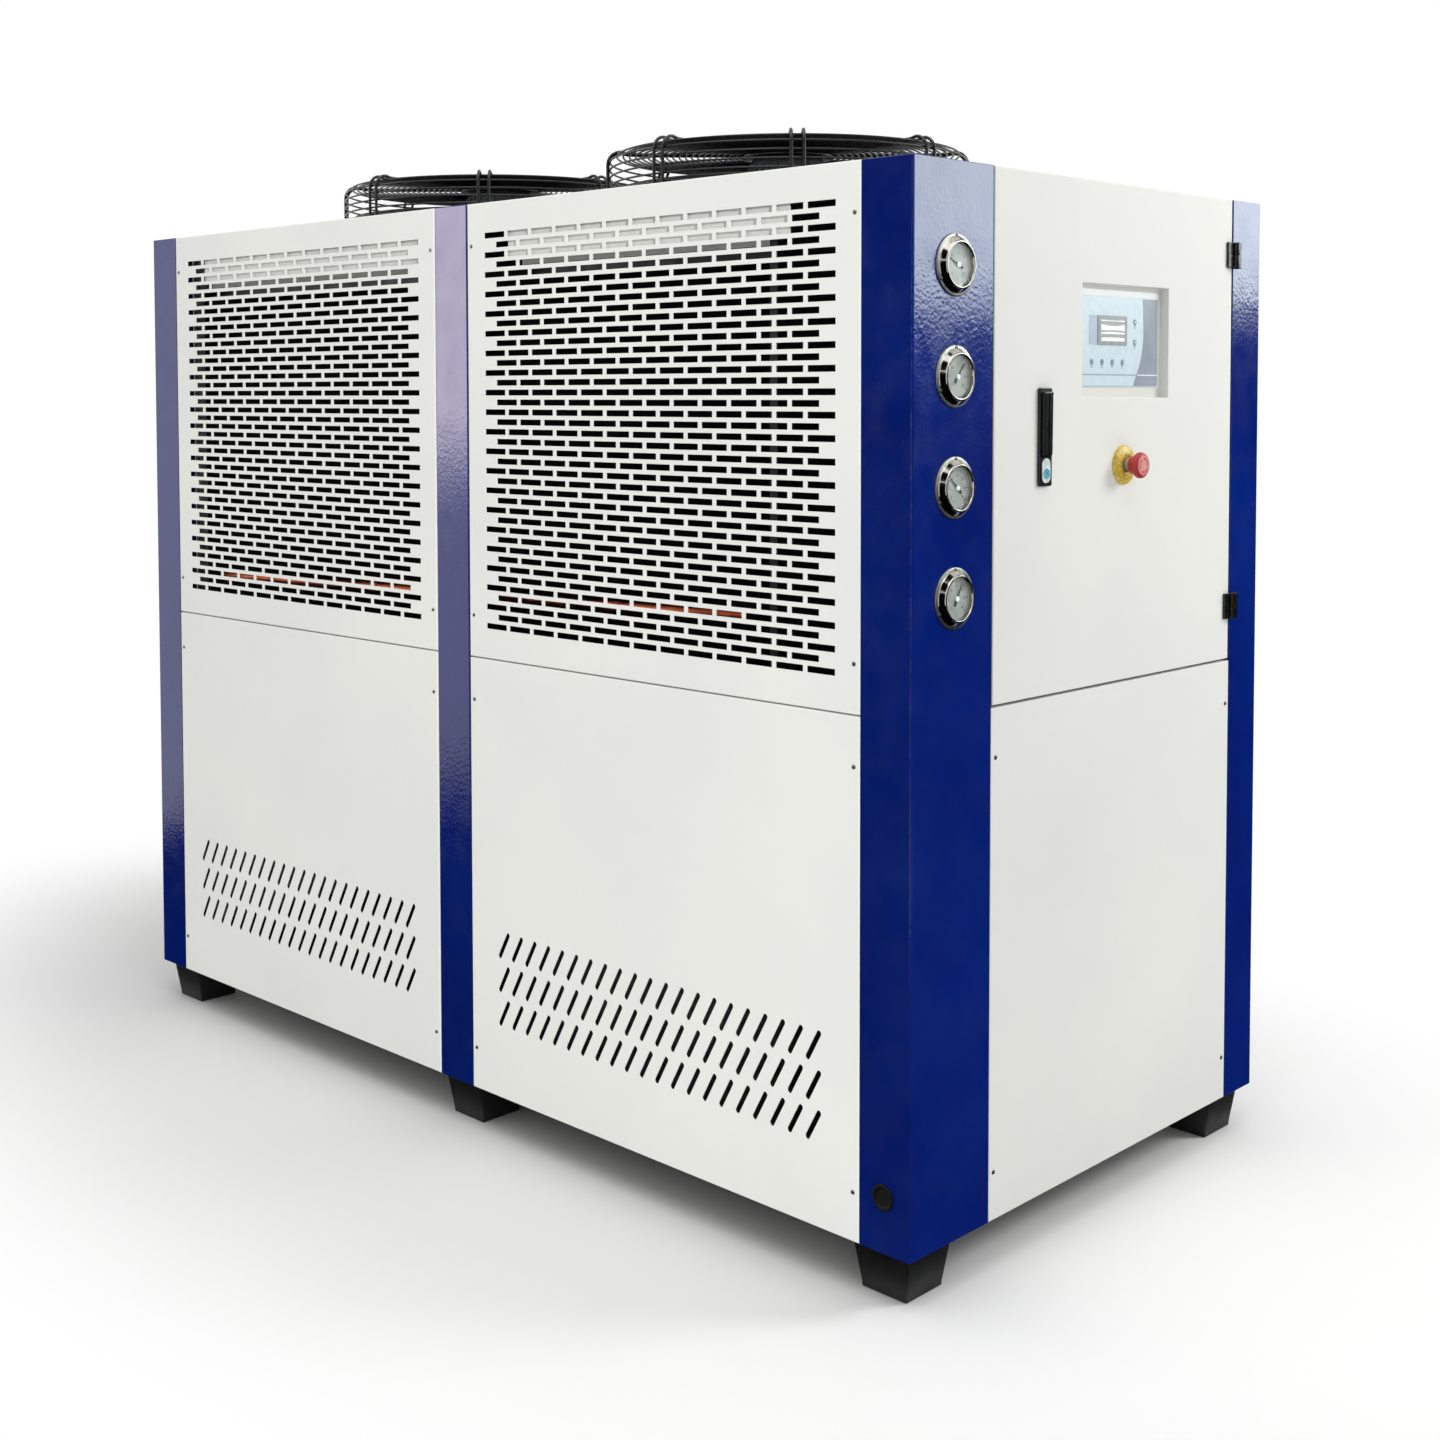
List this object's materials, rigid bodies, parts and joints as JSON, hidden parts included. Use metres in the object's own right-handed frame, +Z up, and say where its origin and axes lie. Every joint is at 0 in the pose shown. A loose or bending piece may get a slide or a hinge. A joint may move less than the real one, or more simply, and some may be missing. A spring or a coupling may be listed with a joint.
{
  "type": "air cooled water chiller",
  "caption": "Free-standing packaged air cooled water chiller with slotted intake panels, top fans under wire guards, gauges and a hinged control door.",
  "frame": {"origin": "on the floor, below the middle of the whole outline", "axes": "+X along the length towards the control door, +Y towards the rear long side, +Z up"},
  "size_m": [2.023, 0.9384, 1.6771],
  "materials": {
    "blue_powder_coat": "cobalt blue powder coat, orange peel",
    "white_powder_coat": "warm light grey powder coat, fine satin",
    "black_metal": "black enamel, satin",
    "guard_wire": "black dipped wire, semi gloss",
    "galvanised_sheet": "galvanised, dull",
    "coil_fins": "thin fins",
    "copper_tube": "drawn copper",
    "motor_casing": "cast, painted grey",
    "fan_blades": "moulded",
    "gauge_chrome": "polished",
    "grommet_rubber": "moulded",
    "controller_face": "printed film on a face plate",
    "black_plastic": "moulded, satin",
    "hinge_black": "black die cast, satin",
    "yellow_plastic": "moulded",
    "red_plastic": "moulded"
  },
  "bodies": {
    "cabinet": {"base_tray": "black_metal", "foot_front_left": "black_metal", "foot_front_middle": "black_metal", "foot_front_right": "black_metal", "foot_rear_left": "black_metal", "foot_rear_middle": "black_metal", "foot_rear_right": "black_metal", "post_front_left": "blue_powder_coat", "post_front_middle": "blue_powder_coat", "post_front_right": "blue_powder_coat", "post_rear_left": "blue_powder_coat", "post_rear_middle": "blue_powder_coat", "post_rear_right": "blue_powder_coat", "intake_panel_front_left": "white_powder_coat", "intake_panel_front_right": "white_powder_coat", "intake_panel_rear_left": "white_powder_coat", "intake_panel_rear_right": "white_powder_coat", "vent_panel_front_left": "white_powder_coat", "vent_panel_front_right": "white_powder_coat", "vent_panel_rear_left": "white_powder_coat", "vent_panel_rear_right": "white_powder_coat", "end_panel_right_lower": "white_powder_coat", "end_panel_left_lower": "white_powder_coat", "end_panel_left_upper": "white_powder_coat", "fan_deck": "white_powder_coat", "middle_shelf": "galvanised_sheet", "control_bulkhead": "black_metal", "condenser_coil_front": "coil_fins", "condenser_coil_rear": "coil_fins", "liquid_line": "copper_tube", "fan_ring_left": "black_metal", "fan_ring_right": "black_metal", "fan_guard_left": "guard_wire", "fan_guard_right": "guard_wire", "fan_motor_left": "motor_casing", "fan_motor_right": "motor_casing", "pressure_gauge_1": "gauge_chrome", "pressure_gauge_2": "gauge_chrome", "pressure_gauge_3": "gauge_chrome", "pressure_gauge_4": "gauge_chrome", "cable_grommet": "grommet_rubber", "hinge_upper_post": "hinge_black", "hinge_lower_post": "hinge_black"},
    "door": {"control_door": "white_powder_coat", "controller": "controller_face", "lock_plate": "black_plastic", "estop_collar": "yellow_plastic", "hinge_upper_door": "hinge_black", "hinge_lower_door": "hinge_black"},
    "lever": {"lock_lever": "black_plastic"},
    "stop_button": {"estop_button": "red_plastic"},
    "left_fan": {"fan_rotor_left": "fan_blades"},
    "right_fan": {"fan_rotor_right": "fan_blades"}
  },
  "joints": [
    {"name": "door_hinge", "type": "hinge", "parent": "cabinet", "child": "door", "pos_m": [0.9815, 0.37825, 1.19], "axis": [0, 0, 1], "range_deg": [0, 110]},
    {"name": "lever_lift", "type": "hinge", "parent": "door", "child": "lever", "pos_m": [0.9833, -0.16375, 1.2559], "axis": [0, -1, 0], "range_deg": [0, 40]},
    {"name": "stop_press", "type": "slide", "parent": "door", "child": "stop_button", "axis": [-1, 0, 0], "range_m": [0, 0.005]},
    {"name": "left_fan_spin", "type": "hinge", "parent": "cabinet", "child": "left_fan", "pos_m": [-0.4585, 0.00125, 1.53], "axis": [0, 0, 1], "continuous": true},
    {"name": "right_fan_spin", "type": "hinge", "parent": "cabinet", "child": "right_fan", "pos_m": [0.3275, 0.00125, 1.53], "axis": [0, 0, 1], "continuous": true}
  ]
}
